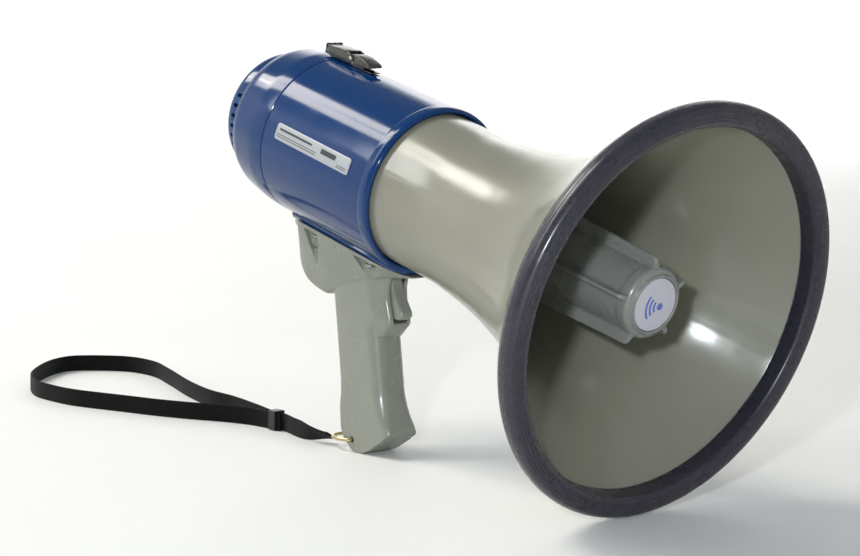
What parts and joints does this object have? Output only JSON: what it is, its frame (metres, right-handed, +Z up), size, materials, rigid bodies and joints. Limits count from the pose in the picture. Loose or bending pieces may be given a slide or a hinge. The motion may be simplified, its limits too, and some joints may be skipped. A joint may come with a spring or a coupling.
{
  "type": "handheld megaphone",
  "caption": "Pistol-grip megaphone: flared horn with rubber rim and central reflector, battery tube with latched rear cap, talk trigger and webbing strap.",
  "frame": {"origin": "middle of the megaphone without its strap, on the surface that it rests on nose-down", "axes": "+X the way the bell points along the surface, +Z up, the horn axis dips 13.9 degrees below +X"},
  "size_m": [0.6153, 0.23, 0.24],
  "materials": {
    "horn_grey": "satin, moulded",
    "rim_rubber": "satin, finely grooved",
    "reflector_grey": "satin, moulded",
    "badge": "smooth, plain bars",
    "dark_plastic": "matt",
    "diaphragm": "satin film",
    "plated_steel": "plated",
    "ferrite": "matt sintered",
    "body_blue": "glossy, moulded",
    "name_plate": "satin, plain bars",
    "seal_rubber": "matt",
    "capsule": "satin",
    "pot": "satin",
    "latch_nickel": "nickel, bright",
    "contact_brass": "bright",
    "circuit_board": "satin",
    "capacitor": "sleeved",
    "grip_grey": "satin, moulded",
    "spring_steel": "bright wire",
    "red_plastic": "matt",
    "ring_brass": "bright wire",
    "webbing": "woven, black",
    "cell_sleeve": "glossy sleeve",
    "screw": "bright"
  },
  "bodies": {
    "megaphone": {"horn_bell": "horn_grey", "rim_bumper": "rim_rubber", "reflector": "reflector_grey", "reflector_badge": "badge", "tone_tube": "horn_grey", "driver_ring": "dark_plastic", "driver_diaphragm": "diaphragm", "driver_top_plate": "plated_steel", "driver_magnet": "ferrite", "driver_yoke": "plated_steel", "body_tube": "body_blue", "name_plate": "name_plate", "body_hinge_leaf": "plated_steel", "cap_hinge_pin": "plated_steel", "latch_base": "plated_steel", "latch_lever_pin": "plated_steel", "battery_holder": "dark_plastic", "rear_contact_plate": "contact_brass", "front_contact_plate": "contact_brass", "amplifier_board": "circuit_board", "amplifier_transformer": "ferrite", "amplifier_capacitor": "capacitor", "grip_housing": "grip_grey", "trigger_pin": "plated_steel", "trigger_spring": "spring_steel", "talk_switch": "dark_plastic", "strap_webbing": "webbing", "strap_clip": "plated_steel", "battery_cell_1": "cell_sleeve", "battery_cell_2": "cell_sleeve", "battery_cell_3": "cell_sleeve", "battery_cell_4": "cell_sleeve", "battery_cell_5": "cell_sleeve", "battery_cell_6": "cell_sleeve", "grip_screw_1": "screw", "grip_screw_2": "screw", "grip_screw_3": "screw", "grip_screw_4": "screw"},
    "cap": {"rear_cap": "body_blue", "cap_seal": "seal_rubber", "mic_cover": "body_blue", "mic_holder": "seal_rubber", "mic_capsule": "capsule", "volume_pot": "pot", "cap_hinge_leaf": "plated_steel", "latch_strike": "plated_steel"},
    "latch_lever": {"latch_lever": "latch_nickel"},
    "latch_claw": {"latch_claw": "latch_nickel", "latch_claw_pin": "plated_steel"},
    "volume_knob": {"volume_knob": "dark_plastic"},
    "trigger": {"trigger": "grip_grey"},
    "switch_plunger": {"switch_plunger": "red_plastic"},
    "strap_ring": {"strap_ring": "ring_brass"}
  },
  "joints": [
    {"name": "cap_hinge", "type": "hinge", "parent": "megaphone", "child": "cap", "pos_m": [-0.1442, 0, 0.13251], "axis": [0, -1, 0], "range_deg": [0, 95]},
    {"name": "latch_lever_hinge", "type": "hinge", "parent": "megaphone", "child": "latch_lever", "pos_m": [-0.09835, 0, 0.23004], "axis": [0, -1, 0], "range_deg": [0, 25]},
    {"name": "latch_claw_hinge", "type": "hinge", "parent": "latch_lever", "child": "latch_claw", "pos_m": [-0.09933, 0, 0.23234], "axis": [0, 1, 0], "range_deg": [0, 110]},
    {"name": "volume_turn", "type": "hinge", "parent": "cap", "child": "volume_knob", "pos_m": [-0.18652, 0, 0.17578], "axis": [-0.9705, 0, 0.2409], "range_deg": [0, 300]},
    {"name": "trigger_hinge", "type": "hinge", "parent": "megaphone", "child": "trigger", "pos_m": [-0.06239, 0, 0.10427], "axis": [0, 1, 0], "range_deg": [0, 8], "stiffness_Nm_per_rad": 0.3, "springref_deg": -8.59, "deforming": ["trigger_spring"]},
    {"name": "switch_slide", "type": "slide", "parent": "megaphone", "child": "switch_plunger", "axis": [-0.9705, 0, 0.2409], "range_m": [0, 0.0019]},
    {"name": "ring_hinge", "type": "hinge", "parent": "megaphone", "child": "strap_ring", "pos_m": [-0.08619, 0, 0.00715], "axis": [0, 1, 0], "range_deg": [0, 25]}
  ],
  "couplings": [
    {"joint": "latch_lever_hinge", "follows": "cap_hinge", "ratio": 0.26315},
    {"joint": "latch_claw_hinge", "follows": "cap_hinge", "ratio": 1.1579},
    {"joint": "switch_slide", "follows": "trigger_hinge", "m_per_rad": 0.0135}
  ]
}
